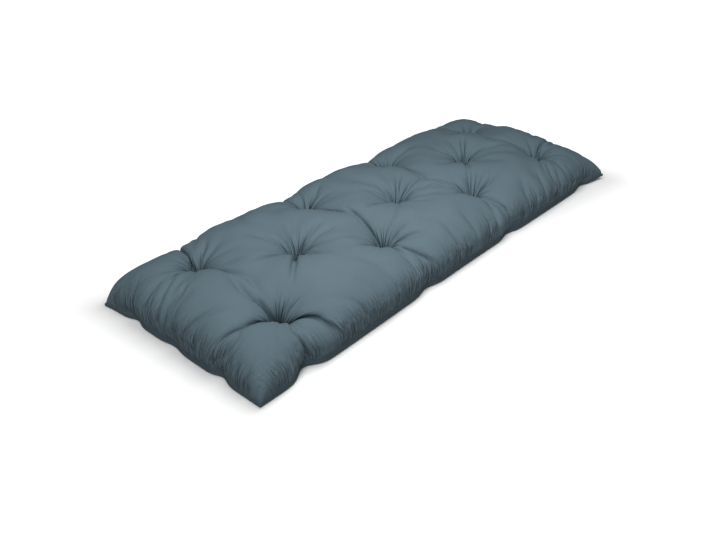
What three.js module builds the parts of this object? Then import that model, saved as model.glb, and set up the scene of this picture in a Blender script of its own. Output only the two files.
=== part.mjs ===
// Tufted bench cushion: two cloth panels sewn together all round at a knife edge, filled with
// fibre and stitched through at eleven points, lying on its back on a flat surface.
// Millimetres, +Z up, +X along the bench, the origin under the middle of the cushion on that surface.
import * as THREE from "three";

// Driving dimensions
const LENGTH = 1240; // between the sewn corner tips
const WIDTH = 476;
const CROWN_HEIGHT = 126; // the fullest bulge above the surface
const SEAM_HEIGHT = 16; // the seam's middle line along the sides
const CORNER_DROOP = 8; // how much lower the corner tips hang
const CORNER_DROOP_REACH = 90;
const SEAM_THICKNESS = 5; // the sewn edge, with its turned-in allowances
const SIDE_ROUND = WIDTH / 2; // the top climbs from a side's seam to its full crown over this distance
const NEAR_END_ROUND = 170; // and from an end's seam over these
const FAR_END_ROUND = 215;
const SHOULDER_POWER = 4; // more is a fuller shoulder
const SHOULDER_ROOT = 0.58; // 0.5 leaves the seam upright, more leaves it at a slant
const CORNER_PINCH = 0.55; // the crown's loss at a corner tip, where the panels are sewn to a point
const CORNER_PINCH_REACH = 27;
const SIDE_DRAW_IN = 2; // how far the sides pull in between the corner tips
const SIDE_DRAW_IN_REACH = 70;

// Stitched-through points and the channels that they draw across the cushion
const TUFT_HEIGHT_SHARE = 0.5; // a tuft keeps this share of the rise above the seam
const TUFT_REACH = 56;
const TUFT_SHARPNESS = 1.1; // under 1 the funnel ends in a point, over 1 in a round bowl
const CHANNEL_PULL = 0.12;
const CHANNEL_HALF_WIDTH = 34;
const RIGHT_NOTCH_PULL = 0.26; // the channel is deeper where it runs out over the side
const LEFT_NOTCH_PULL = 0.1;
const NOTCH_REACH = 95;
const UNDER_TUFT_DEPTH = 20;
const UNDER_TUFT_REACH = 38;
const UNDER_TURN = 70; // the underside curls up to the seam over this distance
const UNDER_TURN_POWER = 1.6;

// One row for each stitched channel, in the order along the bench: where it meets the left side, its
// left stitch, where it crosses the middle line, its right stitch and where it meets the right side.
const CHANNELS = [
  { left: -447, leftTuft: [-471, 111], middle: -452, rightTuft: [-475, -131], right: -488 },
  { left: -150, leftTuft: [-136, 132], middle: -139, rightTuft: [-145, -109], right: -130 },
  { left: 156, leftTuft: [168, 142], middle: 146, rightTuft: [180, -116], right: 188 },
  { left: 452, leftTuft: [484, 106], middle: 455, rightTuft: [474, -117], right: 540 },
];

// The single stitches between the channels
const MIDDLE_TUFTS = [
  [-298, 0],
  [21, -12],
  [310, 4],
];

// The longest folds that run out from a stitch over the bulges: start and end in plan, how deep and how wide
const FOLDS = [
  { from: [-298, 0], to: [-401, 1], pull: 0.08, halfWidth: 16 },
  { from: [-298, 0], to: [-281, -88], pull: 0.08, halfWidth: 16 },
  { from: [21, -12], to: [-69, -1], pull: 0.08, halfWidth: 16 },
  { from: [21, -12], to: [44, -88], pull: 0.08, halfWidth: 16 },
  { from: [310, 4], to: [217, 26], pull: 0.08, halfWidth: 16 },
  { from: [310, 4], to: [299, -70], pull: 0.07, halfWidth: 16 },
  { from: [-471, 111], to: [-550, 102], pull: 0.08, halfWidth: 18 },
  { from: [-475, -131], to: [-585, -133], pull: 0.1, halfWidth: 18 },
  { from: [484, 106], to: [560, 104], pull: 0.08, halfWidth: 18 },
  { from: [474, -117], to: [560, -112], pull: 0.08, halfWidth: 18 },
];

// Scallops of the seam line: where along its side each sits, how deep and how wide
const LEFT_SCALLOPS = CHANNELS.map(({ left }) => ({ at: left, depth: 7, halfWidth: 36 }));
const RIGHT_SCALLOPS = CHANNELS.map(({ right }) => ({ at: right, depth: 11, halfWidth: 32 }));
const NEAR_SCALLOPS = [
  { at: 140, depth: 6, halfWidth: 22 },
  { at: 18, depth: 4, halfWidth: 30 },
  { at: -122, depth: 6, halfWidth: 22 },
];
const FAR_SCALLOPS = [
  { at: 126, depth: 6, halfWidth: 24 },
  { at: 10, depth: 3, halfWidth: 30 },
  { at: -130, depth: 6, halfWidth: 24 },
];

// Grid of each panel: small steps at the rounded edge, larger ones inside
const EDGE_STEP = 4;
const INNER_STEP = 20;
const STEP_GROWTH = 4; // how many steps it takes to grow from one to the other

const CLOTH_COLOUR = 0x5f727c;

const HALF_LENGTH = LENGTH / 2;
const HALF_WIDTH = WIDTH / 2;
const TUFTS = [...CHANNELS.flatMap(({ leftTuft, rightTuft }) => [leftTuft, rightTuft]), ...MIDDLE_TUFTS];

const bell = (distance, halfWidth) => Math.exp(-((distance / halfWidth) ** 2));
const smooth = (t) => t * t * (3 - 2 * t);
const clamp01 = (t) => Math.min(1, Math.max(0, t));

// Distances from the middle line to a row of grid lines, from one seam to the other
function gridLines(half) {
  const reach = (k) => INNER_STEP * k - (INNER_STEP - EDGE_STEP) * STEP_GROWTH * (1 - Math.exp(-k / STEP_GROWTH));
  let count = 1;
  while (reach(count) < half) count += 1;
  const fromEdge = Array.from({ length: count + 1 }, (_, k) => (reach(k) * half) / reach(count));
  const lower = fromEdge.map((distance) => distance - half);
  const upper = fromEdge.slice(0, -1).reverse().map((distance) => half - distance);
  return [...lower, ...upper];
}

// How far a side's seam line lies inside the straight line between its corner tips
function drawIn(position, half, scallops) {
  const fromTip = half - Math.abs(position);
  const pulled = SIDE_DRAW_IN * (1 - Math.exp(-fromTip / SIDE_DRAW_IN_REACH));
  const nearTip = clamp01(fromTip / SIDE_DRAW_IN_REACH);
  const scalloped = scallops.reduce((sum, { at, depth, halfWidth }) => sum + depth * bell(position - at, halfWidth), 0);
  return pulled + scalloped * nearTip;
}

// How far a grid point moves in plan where its end and its side draw in at the seam
function seamDrawIn(gridX, gridY) {
  const endScallops = gridX < 0 ? NEAR_SCALLOPS : FAR_SCALLOPS;
  const sideScallops = gridY < 0 ? RIGHT_SCALLOPS : LEFT_SCALLOPS;
  const inX = drawIn(gridY, HALF_WIDTH, endScallops) * Math.sign(gridX);
  const inY = drawIn(gridX, HALF_LENGTH, sideScallops) * Math.sign(gridY);
  return [inX, inY];
}

// A point of the top panel in plan: each draw-in fades to nothing at the middle line
function topPlan(gridX, gridY) {
  const [inX, inY] = seamDrawIn(gridX, gridY);
  return [gridX - inX * Math.abs(gridX / HALF_LENGTH) ** 3, gridY - inY * (gridY / HALF_WIDTH) ** 2];
}

// A point of the underside in plan: each draw-in fades to nothing where the underside meets the surface
function underPlan(gridX, gridY) {
  const [inX, inY] = seamDrawIn(gridX, gridY);
  const kept = (gridAlong, half) => 1 - clamp01((half - Math.abs(gridAlong)) / UNDER_TURN);
  return [gridX - inX * kept(gridX, HALF_LENGTH), gridY - inY * kept(gridY, HALF_WIDTH)];
}

const tipDistance = (gridX, gridY) => Math.hypot(HALF_LENGTH - Math.abs(gridX), HALF_WIDTH - Math.abs(gridY));

// Height of the seam's middle line, lower towards the corner tips
function seamHeight(gridX, gridY) {
  return SEAM_HEIGHT - CORNER_DROOP * Math.exp(-tipDistance(gridX, gridY) / CORNER_DROOP_REACH);
}

// Share of the crown reached at a distance inside the seam: much like a superellipse quarter
function edgeRise(distance, round) {
  const inside = clamp01(distance / round);
  return (1 - (1 - inside) ** SHOULDER_POWER) ** SHOULDER_ROOT;
}

// The rises from an end and from a side together: the lower one rules, and they round into each other at a corner
function crownShare(gridX, gridY) {
  const fromEnd = edgeRise(HALF_LENGTH - Math.abs(gridX), gridX < 0 ? NEAR_END_ROUND : FAR_END_ROUND);
  const fromSide = edgeRise(HALF_WIDTH - Math.abs(gridY), SIDE_ROUND);
  const product = fromEnd * fromSide;
  const pinched = 1 - CORNER_PINCH * Math.exp(-tipDistance(gridX, gridY) / CORNER_PINCH_REACH);
  return product === 0 ? 0 : (pinched * product) / Math.sqrt(fromEnd ** 2 + fromSide ** 2 - product ** 2);
}

// A stitch's funnel, strongest where the nearest stitch is
function tuftPull(x, y) {
  const pulls = TUFTS.map(([along, across]) =>
    Math.exp(-((Math.hypot(x - along, y - across) / TUFT_REACH) ** TUFT_SHARPNESS)),
  );
  return (1 - TUFT_HEIGHT_SHARE) * Math.max(...pulls);
}

// Where a channel runs at a distance across the cushion, as a smooth line through its five points
function channelAlong(channel, y) {
  const stops = [
    [HALF_WIDTH, channel.left],
    [channel.leftTuft[1], channel.leftTuft[0]],
    [0, channel.middle],
    [channel.rightTuft[1], channel.rightTuft[0]],
    [-HALF_WIDTH, channel.right],
  ];
  const next = Math.max(1, stops.findIndex(([across]) => y >= across));
  const [startY, startX] = stops[next - 1];
  const [endY, endX] = stops[next];
  return startX + (endX - startX) * smooth(clamp01((y - startY) / (endY - startY)));
}

function channelPull(x, y) {
  const sideDistance = HALF_WIDTH - Math.abs(y);
  const notchPull = y < 0 ? RIGHT_NOTCH_PULL : LEFT_NOTCH_PULL;
  const depth = CHANNEL_PULL + (notchPull - CHANNEL_PULL) * bell(sideDistance, NOTCH_REACH);
  const pulls = CHANNELS.map((channel) => bell(x - channelAlong(channel, y), CHANNEL_HALF_WIDTH));
  return depth * Math.max(...pulls);
}

// The folds are troughs that fade out towards their far ends
function foldPull(x, y) {
  return FOLDS.reduce((sum, { from, to, pull, halfWidth }) => {
    const run = [to[0] - from[0], to[1] - from[1]];
    const length = Math.hypot(...run);
    const t = clamp01(((x - from[0]) * run[0] + (y - from[1]) * run[1]) / length ** 2);
    const distance = Math.hypot(x - from[0] - t * run[0], y - from[1] - t * run[1]);
    return sum + pull * (1 - smooth(t)) * bell(distance, halfWidth);
  }, 0);
}

function topHeight(gridX, gridY, x, y) {
  const seam = seamHeight(gridX, gridY);
  const kept = (1 - tuftPull(x, y)) * (1 - channelPull(x, y)) * (1 - foldPull(x, y));
  return seam + SEAM_THICKNESS / 2 + (CROWN_HEIGHT - SEAM_HEIGHT) * crownShare(gridX, gridY) * kept;
}

// The underside lies flat but for the curl up to the seam and the hollow above each stitch
function underHeight(gridX, gridY, x, y) {
  const inset = Math.min(HALF_LENGTH - Math.abs(gridX), HALF_WIDTH - Math.abs(gridY));
  const curl = (1 - clamp01(inset / UNDER_TURN)) ** UNDER_TURN_POWER * (seamHeight(gridX, gridY) - SEAM_THICKNESS / 2);
  const hollows = TUFTS.map(([along, across]) => {
    const inside = 1 - Math.hypot(x - along, y - across) / UNDER_TUFT_REACH;
    return UNDER_TUFT_DEPTH * smooth(clamp01(inside));
  });
  return Math.max(curl, ...hollows);
}

// One closed surface: the top panel, the underside panel and the narrow band of the sewn edge between them
function cushionGeometry() {
  const linesX = gridLines(HALF_LENGTH);
  const linesY = gridLines(HALF_WIDTH);
  const countX = linesX.length;
  const countY = linesY.length;
  const panelSize = countX * countY;
  const top = (i, j) => i * countY + j;
  const under = (i, j) => panelSize + top(i, j);

  const positions = new Float32Array(panelSize * 2 * 3);
  linesX.forEach((gridX, i) =>
    linesY.forEach((gridY, j) => {
      const [topX, topY] = topPlan(gridX, gridY);
      const [underX, underY] = underPlan(gridX, gridY);
      positions.set([topX, topY, topHeight(gridX, gridY, topX, topY)], top(i, j) * 3);
      positions.set([underX, underY, underHeight(gridX, gridY, underX, underY)], under(i, j) * 3);
    }),
  );

  const triangles = [];
  const quad = (a, b, c, d) => triangles.push(a, b, c, a, c, d);
  for (let i = 0; i + 1 < countX; i += 1) {
    for (let j = 0; j + 1 < countY; j += 1) {
      quad(top(i, j), top(i + 1, j), top(i + 1, j + 1), top(i, j + 1));
      quad(under(i, j), under(i, j + 1), under(i + 1, j + 1), under(i + 1, j));
    }
  }
  const lastX = countX - 1;
  const lastY = countY - 1;
  for (let i = 0; i < lastX; i += 1) {
    quad(under(i, 0), under(i + 1, 0), top(i + 1, 0), top(i, 0));
    quad(under(i + 1, lastY), under(i, lastY), top(i, lastY), top(i + 1, lastY));
  }
  for (let j = 0; j < lastY; j += 1) {
    quad(under(0, j + 1), under(0, j), top(0, j), top(0, j + 1));
    quad(under(lastX, j), under(lastX, j + 1), top(lastX, j + 1), top(lastX, j));
  }

  const geometry = new THREE.BufferGeometry();
  geometry.setAttribute("position", new THREE.BufferAttribute(positions, 3));
  geometry.setIndex(triangles);
  geometry.computeVertexNormals();
  return geometry;
}

const cloth = new THREE.MeshStandardMaterial({ color: CLOTH_COLOUR, roughness: 0.9, metalness: 0 });
const cushion = new THREE.Mesh(cushionGeometry(), cloth);
cushion.name = "cushion";

const part = new THREE.Group();
part.add(cushion);
export default part;
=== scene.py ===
# %% [markdown]
# # A tufted bench cushion
#
# The real cushion is two rectangles of plain slate cloth, sewn together round the edge, turned and stuffed
# with loose fibre. A strong thread is then pulled through it at eleven points, and the cloth sinks into
# funnels there, with valleys between them and creases round them. The lesson makes the top panel as a grid
# of cloth, presses the main creases into it, lets a small cloth simulation puff it up, and sews the edge
# and the underside to it afterwards.

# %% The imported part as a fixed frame
import math

import bpy
import numpy as np
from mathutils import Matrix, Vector


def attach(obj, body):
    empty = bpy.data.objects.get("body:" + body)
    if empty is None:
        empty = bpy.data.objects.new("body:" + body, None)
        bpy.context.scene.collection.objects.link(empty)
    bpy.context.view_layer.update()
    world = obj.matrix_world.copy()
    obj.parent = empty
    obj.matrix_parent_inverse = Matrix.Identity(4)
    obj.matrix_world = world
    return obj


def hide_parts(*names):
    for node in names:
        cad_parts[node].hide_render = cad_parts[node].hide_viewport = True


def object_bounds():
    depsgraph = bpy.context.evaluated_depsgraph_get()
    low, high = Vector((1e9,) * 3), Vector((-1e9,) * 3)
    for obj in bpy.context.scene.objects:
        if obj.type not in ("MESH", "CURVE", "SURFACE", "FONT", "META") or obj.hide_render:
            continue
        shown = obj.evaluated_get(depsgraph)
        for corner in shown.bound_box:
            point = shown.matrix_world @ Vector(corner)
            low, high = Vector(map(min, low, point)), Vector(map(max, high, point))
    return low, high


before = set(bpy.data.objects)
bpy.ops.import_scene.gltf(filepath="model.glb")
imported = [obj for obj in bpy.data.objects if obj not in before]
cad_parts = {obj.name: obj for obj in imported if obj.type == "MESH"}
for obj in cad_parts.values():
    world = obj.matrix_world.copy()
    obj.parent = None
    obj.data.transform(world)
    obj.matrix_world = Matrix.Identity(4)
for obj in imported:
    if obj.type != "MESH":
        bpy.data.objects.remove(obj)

cad_box = [list(corner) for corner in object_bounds()]
LENGTH, WIDTH, CROWN = np.subtract(cad_box[1], cad_box[0])
print(f"the solid is {LENGTH:.3f} by {WIDTH:.3f} by {CROWN:.3f} m")

# %% [markdown]
# ## The camera
#
# The photograph looks down on one corner. A camera can be matched by eye in the viewport, but the two sets
# of parallel edges meet at vanishing points, and those give the camera's direction and focal length. The
# place follows from the corners.

# %% Camera at the photograph's place
CAMERA_PLACE = Vector((-1.2156, -0.9923, 0.8804))
VIEW_YAW = math.radians(41.75)
VIEW_DROP = math.radians(32.07)
FOCAL_LENGTH_PIXELS = 750
PHOTO_WIDTH_PIXELS = 716
SENSOR_WIDTH = 36.0

camera_data = bpy.data.cameras.new("photo_camera")
camera_data.sensor_width = SENSOR_WIDTH
camera_data.lens = SENSOR_WIDTH * FOCAL_LENGTH_PIXELS / PHOTO_WIDTH_PIXELS
camera = bpy.data.objects.new("photo_camera", camera_data)
bpy.context.scene.collection.objects.link(camera)
level = math.cos(VIEW_DROP)
gaze = Vector((level * math.cos(VIEW_YAW), level * math.sin(VIEW_YAW), -math.sin(VIEW_DROP)))
camera.location = CAMERA_PLACE
camera.rotation_euler = gaze.to_track_quat("-Z", "Y").to_euler()
bpy.context.scene.camera = camera
print(f"lens {camera_data.lens:.1f} mm")

# %% [markdown]
# ## The cloth grid
#
# A cushion could be sculpted or remeshed from a box. But a panel of cloth has threads at even steps, and a
# grid with such steps gives the simulation its lengths and the weave its coordinates. In the middle its
# lines are spaced evenly along the rounded profile and not in plan. At the seam they are spaced evenly in
# plan, closer than the threads lie in the flat cloth: that is the gathering which puckers the seam.

# %% Soft steps
SHOULDER_POWER = 4
SHOULDER_ROOT = 0.58


def bell(distance, half_width):
    """exp(-(distance / half_width)^2): 1 in the middle, soft on both sides."""
    return np.exp(-((distance / half_width) ** 2))


def smooth(t):
    """A soft step: 0 up to t = 0, 1 from t = 1, and t^2 (3 - 2t) between."""
    t = np.clip(t, 0, 1)
    return t * t * (3 - 2 * t)


def edge_rise(inset, turn):
    """Share of the crown at an inset from the seam: (1 - (1 - inset / turn)^4)^0.58."""
    return (1 - (1 - np.clip(inset / turn, 0, 1)) ** SHOULDER_POWER) ** SHOULDER_ROOT


print(f"a tenth of the way in, the crown is {edge_rise(0.1, 1.0):.2f} of its height")

# %% Lines of the grid
COLUMNS = 376  # cells along the bench
ROWS = 164  # cells across it
SEAM_INSIDE = 0.0085  # the stitch line lies this far inside the solid's box
HALF_LENGTH = LENGTH / 2 - SEAM_INSIDE
HALF_WIDTH = WIDTH / 2 - SEAM_INSIDE
RISE = 0.091  # of the crown above the seam
NEAR_TURN = 0.170  # the top climbs from the near end's seam to its full height over this distance
FAR_TURN = 0.230
GATHER_FADE = 0.100  # the threads are back at their even steps this far inside the seam
PROFILE_POINTS = 4001


def profile_lines(half, low_turn, high_turn, cells):
    """Places from -half to half at equal steps along the profile between two seams, and its length."""
    place = -half * np.cos(np.linspace(0, np.pi, PROFILE_POINTS))
    rise = np.minimum(edge_rise(half + place, low_turn), edge_rise(half - place, high_turn))
    steps = np.hypot(np.diff(place), RISE * np.diff(rise))
    run = np.concatenate([[0], np.cumsum(steps)])
    return np.interp(np.linspace(0, run[-1], cells + 1), run, place), run[-1]


thread_x, cloth_length = profile_lines(HALF_LENGTH, NEAR_TURN, FAR_TURN, COLUMNS)
thread_y, cloth_width = profile_lines(HALF_WIDTH, HALF_WIDTH, HALF_WIDTH, ROWS)
even_x = np.linspace(-HALF_LENGTH, HALF_LENGTH, COLUMNS + 1)
even_y = np.linspace(-HALF_WIDTH, HALF_WIDTH, ROWS + 1)
inside_sides = smooth((HALF_WIDTH - np.abs(thread_y)) / GATHER_FADE)
inside_ends = smooth((HALF_LENGTH - np.abs(thread_x)) / GATHER_FADE)
grid_x = even_x[:, None] + (thread_x - even_x)[:, None] * inside_sides
grid_y = even_y + (thread_y - even_y) * inside_ends[:, None]
end_inset = HALF_LENGTH - np.abs(grid_x)
side_inset = HALF_WIDTH - np.abs(grid_y)
seam_inset = np.minimum(end_inset, side_inset)
tip_distance = np.hypot(end_inset, side_inset)
print(f"a panel {cloth_length:.3f} by {cloth_width:.3f} m, cells {1000 * cloth_length / COLUMNS:.1f} mm")

# %% [markdown]
# ## Where the thread goes through
#
# The stitches stand in rows of two and one. Each row of two draws a valley across the cushion, which runs
# out over both long sides and pulls the seam in there. A plain repeat would make them alike, but a hand
# with a needle doesn't, so each stitch has its own place.

# %% Stitches and valleys
TUFTS = {
    "near_left": (-0.471, 0.111),
    "near_right": (-0.475, -0.131),
    "first_middle": (-0.298, 0.000),
    "second_left": (-0.136, 0.132),
    "second_right": (-0.145, -0.109),
    "second_middle": (0.021, -0.012),
    "third_left": (0.168, 0.142),
    "third_right": (0.180, -0.116),
    "third_middle": (0.310, 0.004),
    "far_left": (0.484, 0.106),
    "far_right": (0.474, -0.117),
}
# Each valley: where it meets the right side, its right stitch, the middle line, its left stitch and the left
# side, how far it draws the right seam in, and the share it takes off the height there
VALLEYS = [
    {
        "right_side": -0.488,
        "right": "near_right",
        "middle": -0.452,
        "left": "near_left",
        "left_side": -0.447,
        "draw": 0.021,
        "notch": 0.08,
    },
    {
        "right_side": -0.130,
        "right": "second_right",
        "middle": -0.124,
        "left": "second_left",
        "left_side": -0.150,
        "draw": 0.009,
        "notch": 0.07,
    },
    {
        "right_side": 0.188,
        "right": "third_right",
        "middle": 0.146,
        "left": "third_left",
        "left_side": 0.156,
        "draw": 0.009,
        "notch": 0.07,
    },
    {
        "right_side": 0.540,
        "right": "far_right",
        "middle": 0.455,
        "left": "far_left",
        "left_side": 0.452,
        "draw": 0.009,
        "notch": 0.08,
    },
]
print(f"{len(TUFTS)} stitches, {len(VALLEYS)} valleys")

# %% [markdown]
# ## The panel's outline
#
# The seam isn't straight: it draws in where a valley runs out, the right side draws in a little as a
# whole, and the corner tips stand out by different amounts. It could be traced as a curve. Small bells
# added to the straight outline give the same with a few numbers each, and say why the seam moves.

# %% Outline of the panel
# Where the seam draws in: place along it, depth and half width
END_SCALLOPS = {
    "near": [(0.140, 0.009, 0.020), (0.018, 0.006, 0.026), (-0.122, 0.009, 0.020)],
    "far": [(0.126, 0.006, 0.024), (0.010, 0.003, 0.030), (-0.130, 0.006, 0.024)],
}
RIGHT_SIDE_WAIST = (0.03, 0.006, 0.34)
RIGHT_NOTCH_WIDTH = 0.028
LEFT_NOTCH_DRAW = 0.007
LEFT_NOTCH_WIDTH = 0.036
SIDE_SCALLOPS = {
    "left": [(valley["left_side"], LEFT_NOTCH_DRAW, LEFT_NOTCH_WIDTH) for valley in VALLEYS],
    "right": [RIGHT_SIDE_WAIST]
    + [(valley["right_side"], valley["draw"], RIGHT_NOTCH_WIDTH) for valley in VALLEYS],
}
SCALLOP_FADE = 0.070  # no draw-in at the tips themselves
TIP_OUT = {"near": (-0.001, 0.006), "far": (0.014, 0.006)}  # of the corner tips, right and left
TIP_OUT_REACH = 0.030
END_DRAW_POWER = 3  # how fast a draw-in fades from the seam to the middle
SIDE_DRAW_POWER = 2


def scalloped(place, half, scallops):
    """Draw-in of a seam: the sum of depth x bell(place - middle), faded to nothing at the corner tips."""
    depth = sum(deep * bell(place - middle, half_width) for middle, deep, half_width in scallops)
    return depth * smooth((half - np.abs(place)) / SCALLOP_FADE)


def by_corner(values):
    """One value for each quarter of the panel, from pairs of right and left for the near and the far end."""
    return np.where(grid_x < 0, np.where(grid_y < 0, *values["near"]), np.where(grid_y < 0, *values["far"]))


end_draw = np.where(
    grid_x < 0,
    scalloped(grid_y, HALF_WIDTH, END_SCALLOPS["near"]),
    scalloped(grid_y, HALF_WIDTH, END_SCALLOPS["far"]),
)
side_draw = np.where(
    grid_y < 0,
    scalloped(grid_x, HALF_LENGTH, SIDE_SCALLOPS["right"]),
    scalloped(grid_x, HALF_LENGTH, SIDE_SCALLOPS["left"]),
)
tip_out = by_corner(TIP_OUT) * np.exp(-tip_distance / TIP_OUT_REACH)
end_share = np.abs(grid_x / HALF_LENGTH) ** END_DRAW_POWER
side_share = np.abs(grid_y / HALF_WIDTH) ** SIDE_DRAW_POWER
plan_x = grid_x + np.sign(grid_x) * (tip_out - end_draw * end_share)
plan_y = grid_y + np.sign(grid_y) * (tip_out - side_draw * side_share)
print(f"the ends draw in up to {1000 * end_draw.max():.1f} mm")
print(f"the sides draw in up to {1000 * side_draw.max():.1f} mm")

# %% [markdown]
# ## The stuffed form
#
# The filling gives the cushion its crown. A simulation could blow it up from two flat panels, but that takes
# long and its folds fall where they like, so it starts from a form that is nearly right. The crown rises
# from the seam like a quarter of a superellipse, from the ends and the sides together, and is lowered by the
# funnels and the valleys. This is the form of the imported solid, a little slacker, because the simulation
# will puff it up.

# %% Distances from the stitches and the valleys
def tuft_distance(name):
    """Distance from a stitch, in plan."""
    return np.hypot(plan_x - TUFTS[name][0], plan_y - TUFTS[name][1])


def valley_line(valley, y):
    """x of a valley at each y: smooth steps from one of its five stops to the next."""
    stops = [
        (valley["right_side"], -HALF_WIDTH),
        TUFTS[valley["right"]],
        (valley["middle"], 0.0),
        TUFTS[valley["left"]],
        (valley["left_side"], HALF_WIDTH),
    ]
    steps = [(x1 - x0) * smooth((y - y0) / (y1 - y0)) for (x0, y0), (x1, y1) in zip(stops, stops[1:])]
    return stops[0][0] + sum(steps)


nearest_tuft = np.min([tuft_distance(name) for name in TUFTS], axis=0)
print(f"no cloth is further than {1000 * nearest_tuft.max():.0f} mm from a stitch")

# %% Heights of the top panel
SEAM_HEIGHT = 0.008
SEAM_GAP = 0.0015  # of a panel's edge above or below the seam's middle
TIP_LIFT = {"near": (-0.001, -0.001), "far": (0.008, -0.001)}  # of the corner tips, right and left
TIP_LIFT_REACH = 0.050
TIP_PINCH = {"near": (0.40, 0.75), "far": (0.40, 0.40)}  # the share of the crown that is lost at a tip
TIP_PINCH_REACH = 0.027
FUNNEL_SHARE = 0.62
FUNNEL_REACH = 0.052
VALLEY_SHARE = 0.11
VALLEY_HALF_WIDTH = 0.032
LEFT_NOTCH_SHARE = 0.05
NOTCH_REACH = 0.090
TINY = 1e-9  # keeps a division away from nothing


def valley_pull(valley):
    """Share a valley takes off the height: bell(distance), changed towards the two long sides."""
    notch = np.where(grid_y < 0, valley["notch"], LEFT_NOTCH_SHARE)
    share = VALLEY_SHARE + (notch - VALLEY_SHARE) * bell(side_inset, NOTCH_REACH)
    return share * bell(plan_x - valley_line(valley, plan_y), VALLEY_HALF_WIDTH)


seam_z = SEAM_HEIGHT + by_corner(TIP_LIFT) * np.exp(-tip_distance / TIP_LIFT_REACH)
from_end = edge_rise(end_inset, np.where(grid_x < 0, NEAR_TURN, FAR_TURN))
from_side = edge_rise(side_inset, HALF_WIDTH)
both = from_end * from_side
crown_share = both / np.sqrt(np.maximum(from_end**2 + from_side**2 - both**2, TINY))
crown_share *= 1 - by_corner(TIP_PINCH) * np.exp(-tip_distance / TIP_PINCH_REACH)
funnel = FUNNEL_SHARE * np.exp(-nearest_tuft / FUNNEL_REACH)
dip = np.max([valley_pull(valley) for valley in VALLEYS], axis=0)
height = seam_z + SEAM_GAP + RISE * crown_share * (1 - funnel) * (1 - dip)
form = np.stack([plan_x, plan_y, height], axis=-1)
print(f"start form up to {height.max():.3f} m")

# %% [markdown]
# ## Creases
#
# The pull of a stitch gathers the cloth into creases that run out from it like uneven spokes, and some
# join one stitch to the next. A simulation makes creases too, but not these ones. So the main ones are
# listed one by one, each with its own end, bow, depth and width, as troughs with a sharp bottom. Between them
# lies a fan of fine gathers.

# %% The main creases
# stitch, where the crease ends (x, y), bow as a share of its length, depth, half width
CREASES = [
    ("near_right", (-0.408, -0.264), 0.12, 0.0175, 0.006),
    ("near_right", (-0.602, -0.137), -0.05, 0.0090, 0.007),
    ("near_right", (-0.470, 0.023), 0.09, 0.0110, 0.005),
    ("near_right", (-0.462, -0.062), 0.13, 0.0050, 0.004),
    ("near_right", (-0.418, -0.104), -0.12, 0.0050, 0.004),
    ("near_right", (-0.385, -0.131), -0.06, 0.0075, 0.005),
    ("first_middle", (-0.414, 0.003), 0.01, 0.0075, 0.005),
    ("first_middle", (-0.286, -0.095), -0.09, 0.0075, 0.005),
    ("first_middle", (-0.404, -0.101), 0.00, 0.0110, 0.004),
    ("first_middle", (-0.331, 0.064), 0.20, 0.0050, 0.004),
    ("first_middle", (-0.287, 0.069), 0.16, 0.0050, 0.004),
    ("first_middle", (-0.251, 0.051), 0.04, 0.0075, 0.005),
    ("first_middle", (-0.231, 0.036), -0.06, 0.0050, 0.004),
    ("first_middle", (-0.235, -0.012), -0.20, 0.0075, 0.005),
    ("near_left", (-0.440, 0.200), 0.03, 0.0150, 0.005),
    ("near_left", (-0.460, -0.012), -0.01, 0.0095, 0.005),
    ("near_left", (-0.565, 0.103), 0.10, 0.0050, 0.004),
    ("near_left", (-0.500, 0.129), 0.20, 0.0050, 0.004),
    ("second_left", (-0.134, 0.232), 0.06, 0.0250, 0.006),
    ("second_left", (-0.122, -0.015), -0.06, 0.0150, 0.005),
    ("second_right", (-0.112, 0.030), 0.00, 0.0180, 0.005),
    ("second_right", (-0.174, -0.220), -0.02, 0.0075, 0.005),
    ("second_right", (-0.092, -0.115), -0.20, 0.0050, 0.004),
    ("second_right", (-0.112, -0.149), -0.20, 0.0050, 0.004),
    ("second_right", (-0.228, -0.088), 0.20, 0.0050, 0.004),
    ("second_middle", (0.040, -0.093), -0.15, 0.0075, 0.005),
    ("second_middle", (-0.080, -0.001), 0.07, 0.0075, 0.005),
    ("second_middle", (0.015, 0.037), 0.20, 0.0050, 0.004),
    ("second_middle", (0.092, 0.041), 0.05, 0.0075, 0.005),
    ("second_middle", (0.071, -0.014), -0.20, 0.0050, 0.004),
    ("third_left", (0.182, 0.236), 0.06, 0.0250, 0.006),
    ("third_left", (0.128, -0.077), -0.04, 0.0130, 0.005),
    ("third_right", (0.119, -0.232), -0.01, 0.0075, 0.005),
    ("third_right", (0.226, -0.073), 0.06, 0.0075, 0.005),
    ("third_right", (0.212, -0.107), -0.13, 0.0050, 0.004),
    ("third_right", (0.111, -0.038), 0.14, 0.0110, 0.005),
    ("third_middle", (0.200, 0.017), 0.10, 0.0110, 0.005),
    ("third_middle", (0.313, 0.060), 0.16, 0.0140, 0.005),
    ("third_middle", (0.386, 0.069), -0.02, 0.0075, 0.005),
    ("third_middle", (0.245, -0.055), 0.00, 0.0070, 0.004),
    ("third_middle", (0.436, -0.105), 0.20, 0.0050, 0.004),
    ("far_left", (0.407, 0.108), 0.20, 0.0050, 0.004),
    ("far_left", (0.460, 0.015), -0.20, 0.0050, 0.004),
    ("far_right", (0.383, -0.132), 0.17, 0.0050, 0.004),
    ("far_right", (0.476, -0.095), 0.20, 0.0050, 0.004),
    ("far_right", (0.507, -0.102), -0.20, 0.0050, 0.004),
    ("far_right", (0.491, -0.167), -0.20, 0.0050, 0.004),
]


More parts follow.
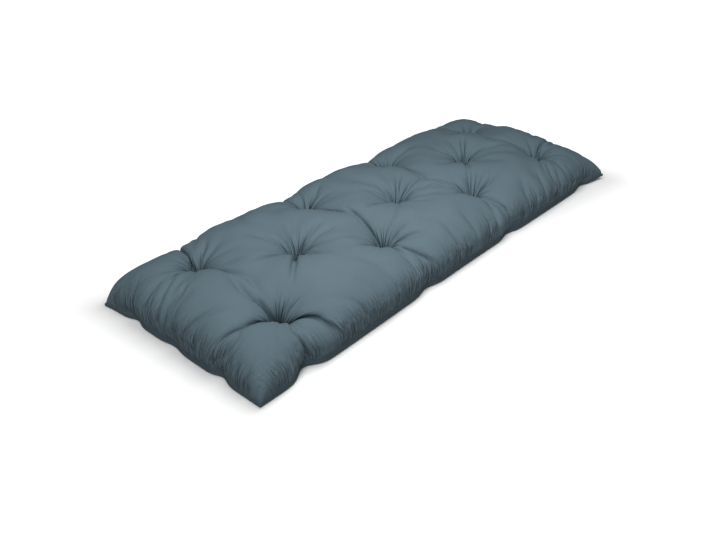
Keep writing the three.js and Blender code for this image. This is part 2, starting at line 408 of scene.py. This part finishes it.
def crease(start, end, bow, depth, half_width):
    """Trough along a parabola, t from 0 to 1 along it: depth x (1 - t)^0.5 x exp(-distance / half_width)."""
    run = np.subtract(end, start)
    length = np.hypot(*run)
    ahead = ((plan_x - start[0]) * run[0] + (plan_y - start[1]) * run[1]) / length
    aside = ((plan_y - start[1]) * run[0] - (plan_x - start[0]) * run[1]) / length
    t = np.clip(ahead / length, 0, 1)
    aside = aside - 4 * bow * length * t * (1 - t)
    distance = np.hypot(aside, np.where((ahead < 0) | (ahead > length), ahead - t * length, 0))
    return depth * np.sqrt(1 - t) * np.exp(-distance / half_width)


troughs = np.max([crease(TUFTS[name], *row) for name, *row in CREASES], axis=0)
print(f"{len(CREASES)} creases, up to {1000 * troughs.max():.0f} mm deep")

# %% Fine gathers round the stitches
GATHERS = 150  # ridges and troughs in a row
GATHER_STEPS = (0.006, 0.017)
GATHERS_START = -0.8  # before the first place that is asked for
GATHER_UNEVENNESS = 1.3
TROUGH_SHARPNESS = 2.2
FAN_DEPTH = 0.0034
FAN_REACH = 0.040
FAN_SPREAD = 0.040  # a radian round a stitch counts as this much seam
FAR_HALF_SEED = 40


def gathers(along, seed):
    """Uneven gathers: broad ridges and narrow troughs by turns, at random steps of 6 to 17 mm."""
    random = np.random.default_rng(seed)
    knots = np.cumsum(random.uniform(*GATHER_STEPS, GATHERS)) + GATHERS_START
    signs = np.where(np.arange(GATHERS) % 2, 1, -1)
    heights = random.uniform(0.0, 1.0, GATHERS) ** GATHER_UNEVENNESS * signs
    place = np.interp(along, knots, np.arange(GATHERS))
    low = np.minimum(place.astype(int), GATHERS - 2)
    part = smooth(place - low)
    wave = heights[low] * (1 - part) + heights[low + 1] * part
    return 1 - 2 * (0.5 - 0.5 * wave) ** TROUGH_SHARPNESS


def tuft_angle(name):
    """Angle round a stitch, alike on its near and far halves: -90 degrees on the right to 90 on the left."""
    return np.arctan2(plan_y - TUFTS[name][1], np.abs(plan_x - TUFTS[name][0]))


def fan(name, seed):
    """Fine gathers round a stitch, by angle: depth x gathers x d x exp(1 - d^2), d = distance / reach."""
    distance = tuft_distance(name) / FAN_REACH
    turn = FAN_SPREAD * tuft_angle(name)
    wave = np.where(plan_x < TUFTS[name][0], gathers(turn, seed), gathers(turn, FAR_HALF_SEED + seed))
    return FAN_DEPTH * wave * distance * np.exp(1 - distance**2)


fans = np.sum([fan(name, seed) for seed, name in enumerate(TUFTS)], axis=0)
print(f"fans of gathers {1000 * fans.min():.1f} to {1000 * fans.max():.1f} mm")

# %% [markdown]
# ## Puckers and filling
#
# The seam gathers the cloth into puckers: along the sides they stand square to it, most of them where a
# valley runs out, and at the ends they fan out from the nearest stitches. Loose fibre is never quite even,
# so long soft waves run through the whole panel. A displacement texture could do this, but it can't follow
# a seam or a stitch. So all of it is added up as one relief, in metres, along the form's normals.

# %% Puckers of the seam
PUCKER_DEPTH = 0.0026
PUCKER_START = 0.003  # they reach their depth this far inside the stitch line
SIDE_PUCKER_REACH = 0.030
END_PUCKER_REACH = 0.055
PUCKERS_BETWEEN = 0.55  # their share between the valleys
NOTCH_PUCKERS_WIDTH = 0.055
NEAR_FAN_SPREAD = 0.14
NEAR_FAN_SPLIT = 0.03  # from here on the near end's puckers run to the left stitch
FAR_FAN_SPREAD = 0.13
FAR_FAN_SPLIT = 0.00
CORNER_FADE = 0.040
PUCKER_SEEDS = {"right": 21, "left": 22, "near": 23, "far": 27}


def puckers(along, inset, reach, seed):
    """Gathers of a seam: none on the stitch line, full depth 3 mm inside it, then fading over the reach."""
    return PUCKER_DEPTH * gathers(along, seed) * smooth(inset / PUCKER_START) * np.exp(-inset / reach)


def side_puckers(side, seed):
    """Puckers square to a long side, more of them where the valleys run out."""
    notch = np.max([bell(plan_x - valley[side], NOTCH_PUCKERS_WIDTH) for valley in VALLEYS], axis=0)
    share = PUCKERS_BETWEEN + (1 - PUCKERS_BETWEEN) * notch
    return share * puckers(plan_x, side_inset, SIDE_PUCKER_REACH, seed)


def end_puckers(right, left, split, spread, seed):
    """Puckers of an end, which fan out from its right or its left stitch."""
    turn = spread * np.where(plan_y < split, tuft_angle(right), tuft_angle(left))
    return puckers(turn, end_inset, END_PUCKER_REACH, seed)


on_right = side_puckers("right_side", PUCKER_SEEDS["right"])
on_left = side_puckers("left_side", PUCKER_SEEDS["left"])
on_near = end_puckers("near_right", "near_left", NEAR_FAN_SPLIT, NEAR_FAN_SPREAD, PUCKER_SEEDS["near"])
on_far = end_puckers("far_right", "far_left", FAR_FAN_SPLIT, FAR_FAN_SPREAD, PUCKER_SEEDS["far"])
seam_puckers = np.where(grid_y < 0, on_right, on_left) * smooth(end_inset / CORNER_FADE)
seam_puckers += np.where(grid_x < 0, on_near, on_far) * smooth(side_inset / CORNER_FADE)
print(f"puckers {1000 * seam_puckers.min():.1f} to {1000 * seam_puckers.max():.1f} mm")

# %% The relief of the whole panel
SWELLS = 26  # long soft waves in the filling
SWELL_DEPTH = 0.00022
SWELL_LENGTHS = (0.045, 0.130)
SWELL_SEED = 31
FOLD_FADE = 0.020  # folds fade out this close to the seam


def uneven_filling():
    """Soft unevenness: the sum of plain waves 45 to 130 mm long in random directions."""
    random = np.random.default_rng(SWELL_SEED)
    heading = random.uniform(0, np.pi, SWELLS)
    pace = 2 * np.pi / random.uniform(*SWELL_LENGTHS, SWELLS)
    phase = random.uniform(0, 2 * np.pi, SWELLS)
    ahead = plan_x[..., None] * np.cos(heading) + plan_y[..., None] * np.sin(heading)
    return SWELL_DEPTH * np.sin(pace * ahead + phase).sum(axis=-1)


def outward(points):
    """Unit normals of a grid of points: the cross product of its two directions."""
    normal = np.cross(np.gradient(points, axis=0), np.gradient(points, axis=1))
    return normal / np.linalg.norm(normal, axis=-1, keepdims=True)


folds = (fans - troughs + uneven_filling()) * smooth(side_inset / FOLD_FADE) * smooth(end_inset / FOLD_FADE)
relief = folds + seam_puckers
form = form + outward(form) * relief[..., None]
print(f"relief {1000 * relief.min():.1f} to {1000 * relief.max():.1f} mm")

# %% [markdown]
# ## Puffing up the cloth
#
# The panel is cut flat, so it has more cloth than a smooth form needs near the seam and round the
# stitches. Blender has a Cloth modifier for this, but on so fine a grid it takes minutes and flattens the
# placed creases, so a small solver is written out here. It works by position-based dynamics: the filling
# pushes the cloth out, and in each round every thread step that is too long is pulled together and every
# step that is too short is eased apart, so the spare cloth buckles into wrinkles. The seam and the
# stitches are held.

# %% Pulling threads to their length
STRETCH = 0.9
SQUEEZE = 0.7
RIDGE_BEND = 0.035  # the filling rounds the ridges from inside
TROUGH_BEND = 0.010  # and leaves the troughs sharp
TIP_EASE = 0.030  # the corners were cut to shape, so they have less cloth to spare


def mend(a, b, rest, stretch, squeeze):
    """Moves the points of a and b along their line towards the rest distance, each by half its share."""
    gap = b - a
    length = np.sqrt((gap * gap).sum(axis=-1))
    wrong = 1 - rest / length
    step = (0.5 * np.where(wrong > 0, stretch, squeeze) * wrong)[..., None] * gap
    a += step
    b -= step


def stiffen(points, normals):
    """Resists bending along the first axis: takes out a share of each second difference, more on ridges."""
    bend = points[:-2] - 2 * points[1:-1] + points[2:]
    ridge = (bend * normals[1:-1]).sum(axis=-1, keepdims=True) < 0
    bend *= np.where(ridge, RIDGE_BEND, TROUGH_BEND)
    points[1:-1] += 2 * bend
    points[:-2] -= bend
    points[2:] -= bend


def rest_lengths(a, b, step, near_tip):
    """Rest distance from a to b: the thread step, or near a corner tip the start form's distance, eased."""
    own = np.linalg.norm(b - a, axis=-1) * (1 + TIP_EASE)
    return step + (own - step) * near_tip


print(f"a trough bends {RIDGE_BEND / TROUGH_BEND:.1f} times as easily as a ridge")

# %% Cloth simulation of the top panel
ROUNDS = 400
PUSH = 0.00006  # each round the filling moves the cloth out this far
EASE = 0.052  # more cloth than the smooth profile needs, taken up by the lobes
TIP_EASE_REACH = 0.150
SHEAR = 0.3
SEAM_TOUCH = 1e-6  # closer to the stitch line than this is on it
STITCH_HOLD = 0.006
MOST_SWELL = 0.040  # no point moves further than this
SEAM_SWELL_REACH = 0.022  # and beside the seam, where the panels lie close together, less


def relaxed(start, held, most, near_tip, step_u, step_v):
    """The grid after all rounds of push, mend and stiffen, with no point moved further than `most`."""
    points = start.copy()
    across = points.transpose(1, 0, 2)
    diagonal = math.hypot(step_u, step_v)
    rest_u = rest_lengths(start[:-1], start[1:], step_u, near_tip[:-1])
    rest_v = rest_lengths(start[:, :-1], start[:, 1:], step_v, near_tip[:, :-1]).T
    rest_up = rest_lengths(start[:-1, :-1], start[1:, 1:], diagonal, near_tip[:-1, :-1])
    rest_down = rest_lengths(start[:-1, 1:], start[1:, :-1], diagonal, near_tip[:-1, :-1])
    for count in range(ROUNDS):
        normals = outward(points)
        points += PUSH * normals
        for first in (0, 1):
            low, high = slice(first, -1, 2), slice(first + 1, None, 2)
            pair = slice(first, None, 2)
            mend(points[low], points[high], rest_u[pair], STRETCH, SQUEEZE)
            mend(across[low], across[high], rest_v[pair], STRETCH, SQUEEZE)
            mend(points[low, :-1], points[high, 1:], rest_up[pair], SHEAR, SHEAR * SQUEEZE)
            mend(points[low, 1:], points[high, :-1], rest_down[pair], SHEAR, SHEAR * SQUEEZE)
        stiffen(points, normals)
        stiffen(across, normals.transpose(1, 0, 2))
        move = points - start
        reach = np.linalg.norm(move, axis=-1, keepdims=True)
        points[:] = start + move * np.minimum(1, most / np.maximum(reach, TINY))
        points[held] = start[held]
    print(f"cloth moved up to {1000 * reach.max():.1f} mm, {1000 * reach.mean():.1f} mm on average")
    return points


held = (seam_inset < SEAM_TOUCH) | (nearest_tuft < STITCH_HOLD)
step_u = cloth_length * (1 + EASE) / COLUMNS
step_v = cloth_width * (1 + EASE) / ROWS
most = (MOST_SWELL * (1 - np.exp(-seam_inset / SEAM_SWELL_REACH)))[..., None]
near_tip = bell(tip_distance, TIP_EASE_REACH)
puffed = relaxed(form, held, most, near_tip, step_u, step_v)
print(f"puffed panel up to {puffed[..., 2].max():.3f} m")

# %% Folds pressed in again
FOLDS_AGAIN = 0.8  # the share of the relief that is pressed in again, since the solver softens it
KINK = 0.0019  # no point stands further than about this off the mean of its four neighbours
KINK_ROUNDS = 5


def unkinked(points):
    """Takes the sharpest kinks out: pulls a point to within KINK of the mean of its four neighbours."""
    for count in range(KINK_ROUNDS):
        mean = (points[:-2, 1:-1] + points[2:, 1:-1] + points[1:-1, :-2] + points[1:-1, 2:]) / 4
        off = points[1:-1, 1:-1] - mean
        size = np.linalg.norm(off, axis=-1, keepdims=True)
        points[1:-1, 1:-1] = mean + off * np.minimum(1, KINK / np.maximum(size, TINY))
    return points


top = unkinked(puffed + outward(puffed) * (FOLDS_AGAIN * relief)[..., None])
print(f"top panel up to {top[..., 2].max():.3f} m")

# %% [markdown]
# ## The sewn edge and the underside
#
# Round the panel runs a narrow lip, the two panels' edges pressed flat by the seam. A bevel on the edge
# could stand for it, but its section changes with the angle between the panels, so it is a small profile
# carried along the stitch line. The underside has the same edge and lies flat on the bench, so half as many
# lines are enough for it.

# %% Lip along the seam
# The lip's section from the top panel's edge round to the underside's: out from the stitch line, up
LIP_SECTION = [
    (0.0002, 0.0006),
    (0.0006, -0.0004),
    (0.0010, -0.0016),
    (0.0011, -0.0030),
    (0.0009, -0.0043),
    (0.0004, -0.0049),
    (-0.0003, -0.0042),
    (-0.0004, -0.0021),
]

number = np.arange((COLUMNS + 1) * (ROWS + 1)).reshape(COLUMNS + 1, ROWS + 1)
# The seam's points anticlockwise from above: right side, far end, left side, near end
seam = np.concatenate([number[:-1, 0], number[-1, :-1], number[:0:-1, -1], number[0, :0:-1]])
seam_points = top.reshape(-1, 3)[seam] - [0, 0, SEAM_GAP]
along = np.roll(seam_points, -1, axis=0) - np.roll(seam_points, 1, axis=0)
out = np.stack([along[:, 1], -along[:, 0]], axis=-1)
out /= np.linalg.norm(out, axis=-1, keepdims=True)


def lip_ring(reach, rise):
    """The seam moved out level by the reach, and up by the rise."""
    return seam_points + np.concatenate([reach * out, np.full((len(seam), 1), rise)], axis=-1)


lip_rings = [lip_ring(reach, rise) for reach, rise in LIP_SECTION]
print(f"a lip of {len(LIP_SECTION)} rings round {len(seam)} seam points")

# %% Underside
UNDER_TURN = 0.070
UNDER_TURN_POWER = 1.6
HOLLOW_DEPTH = 0.020
HOLLOW_REACH = 0.038

curl = (1 - np.clip(seam_inset / UNDER_TURN, 0, 1)) ** UNDER_TURN_POWER * (seam_z - SEAM_GAP)
hollow = HOLLOW_DEPTH * smooth(1 - nearest_tuft / HOLLOW_REACH)
end_fade = 1 - np.clip(end_inset / UNDER_TURN, 0, 1)
side_fade = 1 - np.clip(side_inset / UNDER_TURN, 0, 1)
under_x = grid_x + np.sign(grid_x) * (tip_out - end_draw * end_fade)
under_y = grid_y + np.sign(grid_y) * (tip_out - side_draw * side_fade)
underside = np.stack([under_x, under_y, np.maximum(curl, hollow)], axis=-1)
inner_under = underside[2:-1:2, 2:-1:2].reshape(-1, 3)
points = np.concatenate([top.reshape(-1, 3), *lip_rings, inner_under])
print(f"hollows up to {1000 * hollow.max():.0f} mm, {len(inner_under)} points inside the rim")

# %% Faces of the panel and the lip
first_ring = number.size
last_ring = first_ring + (len(LIP_SECTION) - 1) * len(seam)
first_inner = last_ring + len(seam)
corner = number[:-1, :-1]
panel_faces = np.stack([corner, corner + ROWS + 1, corner + ROWS + 2, corner + 1], axis=-1).reshape(-1, 4)
lip_numbers = first_ring + np.arange(len(LIP_SECTION) * len(seam)).reshape(len(LIP_SECTION), -1)
rings = np.concatenate([[seam], lip_numbers])
following = np.roll(rings, -1, axis=1)
lip_faces = np.stack([rings[:-1], rings[1:], following[1:], following[:-1]], axis=-1).reshape(-1, 4)
print(f"{len(panel_faces)} faces on the panel, {len(lip_faces)} on the lip")

# %% Faces of the underside
# Numbers of its points on the full grid: its rim is the last ring, its inside every second line
under_number = np.full(number.shape, -1)
under_number.ravel()[seam] = last_ring + np.arange(len(seam))
inner_shape = (COLUMNS // 2 - 1, ROWS // 2 - 1)
under_number[2:-1:2, 2:-1:2] = first_inner + np.arange(len(inner_under)).reshape(inner_shape)
near, middle, far = under_number[:-2:2], under_number[1::2], under_number[2::2]
# Clockwise from above round each wide cell, with the rim's extra points where there are any, and -1 elsewhere
wide_cells = np.stack(
    [
        near[:, :-2:2],
        near[:, 1::2],
        near[:, 2::2],
        middle[:, 2::2],
        far[:, 2::2],
        far[:, 1::2],
        far[:, :-2:2],
        middle[:, :-2:2],
    ],
    axis=-1,
).reshape(-1, 8)


def fanned(cell):
    """Triangles of a wide cell at the rim: a fan from the first of its extra points."""
    first_extra = 1 + 2 * np.argmax(cell[1::2] >= 0)
    ring = np.roll(cell, -first_extra)
    ring = ring[ring >= 0].tolist()
    return [[ring[0], low, high] for low, high in zip(ring[1:], ring[2:])]


at_rim = (wide_cells[:, 1::2] >= 0).any(axis=1)
rim_faces = [face for cell in wide_cells[at_rim] for face in fanned(cell)]
under_faces = wide_cells[~at_rim, ::2].tolist() + rim_faces
print(f"{len(under_faces)} faces on the underside, {len(rim_faces)} of them at the rim")

# %% The cover as one mesh
faces = panel_faces.tolist() + lip_faces.tolist() + under_faces
cushion_mesh = bpy.data.meshes.new("cushion_cloth")
cushion_mesh.from_pydata(points, [], faces)
cushion_mesh.shade_smooth()
cushion = bpy.data.objects.new("cushion_cover", cushion_mesh)
bpy.context.scene.collection.objects.link(cushion)
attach(cushion, "root")
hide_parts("cushion")
triangles = sum(len(face) - 2 for face in faces)
print(f"cover of {len(points)} points, {triangles} triangles")

# %% [markdown]
# ## The cloth's finish
#
# The cloth is a plain weave of slate yarn, matt, with hardly any sheen. Along the sewn edge it is painted a
# shade darker: this is painted shade for the shadow at the seam. Its UV map is the cloth itself, in metres,
# so the threads follow the panel over every bulge. The finest wrinkles are too small for the grid. Point
# attributes say where they are, and noise drawn out along them gives their lines as bump.

# %% Cloth coordinates
thread_u = np.broadcast_to(np.linspace(0, cloth_length, COLUMNS + 1)[:, None], number.shape)
thread_v = np.broadcast_to(np.linspace(0, cloth_width, ROWS + 1), number.shape)
panel_uv = np.stack([thread_u, thread_v], axis=-1)
flat_uv = panel_uv.reshape(-1, 2)
lip_uv = [flat_uv[seam] + reach * out for reach, rise in LIP_SECTION]
inner_uv = panel_uv[2:-1:2, 2:-1:2].reshape(-1, 2)
point_uv = np.concatenate([flat_uv, *lip_uv, inner_uv]).astype(np.float32)
corner_point = np.empty(len(cushion_mesh.loops), np.int32)
cushion_mesh.loops.foreach_get("vertex_index", corner_point)
cushion_mesh.uv_layers.new(name="cloth").data.foreach_set("uv", point_uv[corner_point].ravel())
print("cloth coordinates on", len(corner_point), "corners")

# %% Where the fine wrinkles are
FAR_AWAY = 1.0
FINE_FAN_REACH = 0.042
FINE_PUCKER_REACH = 0.022
FINE_CORNER_FADE = 0.050
SEWN_EDGE_WIDTH = 0.002
PATCHES = 4  # fine puckers come in patches this many times as wide as the main gathers
PATCH_MIDDLE = 0.55
PATCH_SWING = 0.45
PATCH_SEEDS = {"sides": 51, "ends": 52}


def add_value(name, on_panel, elsewhere):
    """Stores a number for each of the top panel's points, and one number for all the other points."""
    values = np.full(len(points), elsewhere, np.float32)
    values[: number.size] = on_panel.ravel()
    cushion_mesh.attributes.new(name, "FLOAT", "POINT").data.foreach_set("value", values)


def add_vector(name, on_panel, elsewhere):
    """Stores a level vector for each of the top panel's points, and one value for all the other points."""
    values = np.full((len(points), 3), elsewhere, np.float32)
    values[: number.size, :2] = on_panel.reshape(-1, 2)
    values[: number.size, 2] = 0
    cushion_mesh.attributes.new(name, "FLOAT_VECTOR", "POINT").data.foreach_set("vector", values.ravel())


def fine_puckers(inset, other_inset, along, seed):
    """Strength of the fine puckers of a seam: a bell of the inset, in patches, and nothing on the seams."""
    patches = PATCH_MIDDLE + PATCH_SWING * gathers(along / PATCHES, seed)
    beside = bell(inset, FINE_PUCKER_REACH) * smooth(inset / SEWN_EDGE_WIDTH)
    return beside * smooth(other_inset / FINE_CORNER_FADE) * patches


tuft_places = np.array(list(TUFTS.values()))
offsets = np.stack([plan_x, plan_y], axis=-1)[:, :, None] - tuft_places
nearest = np.hypot(offsets[..., 0], offsets[..., 1]).argmin(axis=-1)
from_stitch = np.take_along_axis(offsets, nearest[..., None, None], axis=2)[:, :, 0]
add_vector("from_stitch", from_stitch, FAR_AWAY)
add_value("stitch_gather", bell(nearest_tuft, FINE_FAN_REACH), 0)
# Painted shade: this mask marks where the colour is darkened along the seam, for the shadow there
add_value("painted_seam_shade", 1 - smooth(seam_inset / SEWN_EDGE_WIDTH), 1)
add_value("side_gather", fine_puckers(side_inset, end_inset, plan_x, PATCH_SEEDS["sides"]), 0)
add_value("end_gather", fine_puckers(end_inset, side_inset, plan_y, PATCH_SEEDS["ends"]), 0)
print(f"fine wrinkles round {len(tuft_places)} stitches and along the seam")

# %% Shorthand for shader nodes
def node(tree, kind, output, values, **settings):
    """Adds a node, applies its settings, fills its inputs with values or links, and gives back one output."""
    added = tree.nodes.new(kind)
    for name, setting in settings.items():
        setattr(added, name, setting)
    for name, value in values.items():
        if isinstance(value, bpy.types.NodeSocket):
            tree.links.new(value, added.inputs[name])
        else:
            added.inputs[name].default_value = value
    return added.outputs[output]


def maths(tree, operation, *values):
    """A Math node on one or two values."""
    return node(tree, "ShaderNodeMath", "Value", dict(enumerate(values)), operation=operation)


def vectors(tree, operation, *values, output="Vector"):
    """A Vector Math node on one or two vectors."""
    return node(tree, "ShaderNodeVectorMath", output, dict(enumerate(values)), operation=operation)


def attribute(tree, name, output="Fac"):
    """What a point attribute of the mesh says."""
    return node(tree, "ShaderNodeAttribute", output, {}, attribute_name=name)


def fill_shader(tree, **values):
    """Fills the Principled shader's inputs, named with underscores for spaces, with values or links."""
    for name, value in values.items():
        socket = tree.nodes["Principled BSDF"].inputs[name.replace("_", " ")]
        if isinstance(value, bpy.types.NodeSocket):
            tree.links.new(value, socket)
        else:
            socket.default_value = value


print("shorthand ready")

# %% Fine wrinkles and weave as bump
WRINKLE_SHARPNESS = 6
FAN_LINES = 3.4  # how often the fine fan's noise changes round a stitch
FAN_DRIFT = 8  # and how fast from place to place
CLOSE_LINES = 120  # changes in a metre across the fine puckers
LONG_LINES = 22  # and along them
FINE_HEIGHT = 0.0060
THREADS_PER_METRE = 900
WAVE_TEXTURE_SCALE = 2 * math.pi / 20  # a wave texture of scale 1 has 20 waves in 2 pi metres
WEAVE_STRENGTH = 0.25
WEAVE_HEIGHT = 0.0004


def wrinkles(tree, vector):
    """Troughs where a noise passes its middle: min(6 x |noise - 0.5|, 1) - 1, so -1 there and 0 beside it."""
    noise = node(tree, "ShaderNodeTexNoise", "Fac", {"Vector": vector, "Scale": 1, "Detail": 1})
    beside = maths(tree, "ABSOLUTE", maths(tree, "SUBTRACT", noise, 0.5))
    level = maths(tree, "MINIMUM", maths(tree, "MULTIPLY", beside, WRINKLE_SHARPNESS), 1)
    return maths(tree, "SUBTRACT", level, 1)


def fan_lines(tree):
    """Wrinkles that run out from the nearest stitch: noise of the direction from it, drifting by place."""
    heading = vectors(tree, "NORMALIZE", attribute(tree, "from_stitch", "Vector"))
    around = vectors(tree, "MULTIPLY", heading, (FAN_LINES,) * 3)
    place = node(tree, "ShaderNodeTexCoord", "Object", {})
    drift = vectors(tree, "MULTIPLY", place, (FAN_DRIFT,) * 3)
    return wrinkles(tree, vectors(tree, "ADD", around, drift))


def fine_bump(tree, cloth_place):
    """Normal with the three kinds of wrinkles, each as strong as its attribute says."""
    on_sides = wrinkles(tree, vectors(tree, "MULTIPLY", cloth_place, (CLOSE_LINES, LONG_LINES, 0)))
    on_ends = wrinkles(tree, vectors(tree, "MULTIPLY", cloth_place, (LONG_LINES, CLOSE_LINES, 0)))
    fan_part = maths(tree, "MULTIPLY", fan_lines(tree), attribute(tree, "stitch_gather"))
    side_part = maths(tree, "MULTIPLY", on_sides, attribute(tree, "side_gather"))
    end_part = maths(tree, "MULTIPLY", on_ends, attribute(tree, "end_gather"))
    total = maths(tree, "ADD", fan_part, maths(tree, "ADD", side_part, end_part))
    return node(tree, "ShaderNodeBump", "Normal", {"Height": total, "Strength": 1, "Distance": FINE_HEIGHT})


def weave_bump(tree, cloth_place, normal):
    """Normal with the weave on top: the product of waves along both directions of the cloth."""
    scale = THREADS_PER_METRE * WAVE_TEXTURE_SCALE
    inputs = {"Vector": cloth_place, "Scale": scale}
    warp = node(tree, "ShaderNodeTexWave", "Fac", inputs, bands_direction="X")
    weft = node(tree, "ShaderNodeTexWave", "Fac", inputs, bands_direction="Y")
    weave = maths(tree, "MULTIPLY", warp, weft)
    heights = {"Height": weave, "Strength": WEAVE_STRENGTH, "Distance": WEAVE_HEIGHT, "Normal": normal}
    return node(tree, "ShaderNodeBump", "Normal", heights)


print(f"threads {1000 / THREADS_PER_METRE:.1f} mm apart")

# %% Slate cloth
SLATE = (0.134, 0.184, 0.212, 1)
SLATE_DARK = (0.114, 0.158, 0.184, 1)
# Painted shade: the darker colour mixed in along the seam, standing in for its shadow
SLATE_PAINTED_SEAM_SHADE = (0.080, 0.110, 0.128, 1)
SHEEN = 0.05
SHEEN_ROUGHNESS = 0.5
SHEEN_COLOUR = (0.75, 0.85, 0.9, 1)
SHINE = 0.12
DULLNESS = (0.86, 0.97)  # the least and the most roughness
UNEVENNESS = {"Scale": 9, "Detail": 4}


def slate_cloth():
    """Matt slate cloth: colour and roughness drift with a soft noise, painted shade darkens the sewn edge,
    and bump gives wrinkles and weave.
    """
    material = bpy.data.materials.new("slate_cloth")
    material.use_nodes = True
    tree = material.node_tree
    cloth_place = node(tree, "ShaderNodeUVMap", "UV", {}, uv_map="cloth")
    drift = node(tree, "ShaderNodeTexNoise", "Fac", {"Vector": cloth_place, **UNEVENNESS})
    worn = {"Value": drift, "To Min": DULLNESS[0], "To Max": DULLNESS[1]}
    yarn = {"Factor": drift, "A": SLATE, "B": SLATE_DARK}
    yarn_colour = node(tree, "ShaderNodeMix", "Result", yarn, data_type="RGBA")
    # Painted shade: the colour goes darker along the sewn edge, where the seam lies in shadow
    edge = {"Factor": attribute(tree, "painted_seam_shade"), "A": yarn_colour, "B": SLATE_PAINTED_SEAM_SHADE}
    fill_shader(
        tree,
        Base_Color=node(tree, "ShaderNodeMix", "Result", edge, data_type="RGBA"),
        Roughness=node(tree, "ShaderNodeMapRange", "Result", worn),
        Normal=weave_bump(tree, cloth_place, fine_bump(tree, cloth_place)),
        Specular_IOR_Level=SHINE,
        Sheen_Weight=SHEEN,
        Sheen_Roughness=SHEEN_ROUGHNESS,
        Sheen_Tint=SHEEN_COLOUR,
    )
    return material


cushion_mesh.materials.append(slate_cloth())
print(f"slate cloth with {len(cushion_mesh.materials[0].node_tree.nodes)} nodes")

# %% [markdown]
# ## Floor and light
#
# The photograph's ground is plain white, with a soft shadow close to the cushion. A pale floor under studio
# light alone comes out grey, so this one glows, more and more with the distance from the cushion, but only
# as the camera sees it: the contact shadow stays, and no extra light reaches the cloth. A broad sun from the
# camera's side gives the soft shade of the lobes, and a long lamp just above lights the top and leaves the
# sides dim. A look with some contrast deepens the folds.

# %% Pale floor
FLOOR_HALF = 20.0
FLOOR_SEEN = (0.86, 0.86, 0.86, 1)
FLOOR_BOUNCED = (0.60, 0.60, 0.60, 1)
FLOOR_GLOW = 0.60
CONTACT_GLOW = 0.03
GLOW_GROWS_OVER = 0.20
FLOOR_ROUGHNESS = 0.9
WHITE = (1, 1, 1, 1)


def pale_floor():
    """Floor whose glow grows with the distance from the cushion's rectangle, for camera rays only."""
    material = bpy.data.materials.new("pale_floor")
    material.use_nodes = True
    tree = material.node_tree
    seen = node(tree, "ShaderNodeLightPath", "Is Camera Ray", {})
    colours = {"Factor": seen, "A": FLOOR_BOUNCED, "B": FLOOR_SEEN}
    past_middle = vectors(tree, "ABSOLUTE", node(tree, "ShaderNodeTexCoord", "Object", {}))
    past_edge = vectors(tree, "SUBTRACT", past_middle, (LENGTH / 2, WIDTH / 2, 0))
    outside = vectors(tree, "MAXIMUM", past_edge, (0, 0, 0))
    away = vectors(tree, "LENGTH", outside, output="Value")
    growing = {"Value": away, "From Max": GLOW_GROWS_OVER, "To Min": CONTACT_GLOW, "To Max": FLOOR_GLOW}
    glow = node(tree, "ShaderNodeMapRange", "Result", growing)
    fill_shader(
        tree,
        Base_Color=node(tree, "ShaderNodeMix", "Result", colours, data_type="RGBA"),
        Roughness=FLOOR_ROUGHNESS,
        Specular_IOR_Level=0,
        Emission_Color=WHITE,
        Emission_Strength=maths(tree, "MULTIPLY", seen, glow),
    )
    return material


floor_mesh = bpy.data.meshes.new("floor")
floor_corners = [(x * FLOOR_HALF, y * FLOOR_HALF, 0) for x, y in [(-1, -1), (1, -1), (1, 1), (-1, 1)]]
floor_mesh.from_pydata(floor_corners, [], [(0, 1, 2, 3)])
floor_mesh.materials.append(pale_floor())
floor = bpy.data.objects.new("floor", floor_mesh)
bpy.context.scene.collection.objects.link(floor)
print(f"floor {2 * FLOOR_HALF:.0f} m square")

# %% Lamps
KEY_STRENGTH = 1.70
KEY_SPREAD = math.radians(40)
KEY_AIM = Vector((0.52, 0.40, -1))
STRIP_PLACE = Vector((-0.20, -0.18, 0.75))
STRIP_SIZE = (0.9, 0.30)
STRIP_POWER = 3.85

key_data = bpy.data.lights.new("soft_key", "SUN")
key_data.energy = KEY_STRENGTH
key_data.angle = KEY_SPREAD
key = bpy.data.objects.new("soft_key", key_data)
key.rotation_euler = KEY_AIM.to_track_quat("-Z", "Y").to_euler()
bpy.context.scene.collection.objects.link(key)

strip_data = bpy.data.lights.new("long_lamp", "AREA")
strip_data.shape = "RECTANGLE"
strip_data.size, strip_data.size_y = STRIP_SIZE
strip_data.energy = STRIP_POWER
strip = bpy.data.objects.new("long_lamp", strip_data)
strip.location = STRIP_PLACE
strip.visible_camera = False
bpy.context.scene.collection.objects.link(strip)
print(f"a sun {math.degrees(KEY_SPREAD):.0f} degrees wide and a lamp {STRIP_SIZE[0]:.1f} m long")

# %% Background and picture look
AMBIENT = 0.06  # light from all round

world = bpy.data.worlds.new("studio")
world.use_nodes = True
seen_by_camera = node(world.node_tree, "ShaderNodeLightPath", "Is Camera Ray", {})
background = world.node_tree.nodes["Background"]
background.inputs["Color"].default_value = WHITE
strength = maths(world.node_tree, "MAXIMUM", seen_by_camera, AMBIENT)
world.node_tree.links.new(strength, background.inputs["Strength"])
bpy.context.scene.world = world
bpy.context.scene.view_settings.view_transform = "Standard"
bpy.context.scene.view_settings.look = "Medium High Contrast"
print(f"background white to the camera, {AMBIENT:.2f} to the cloth")
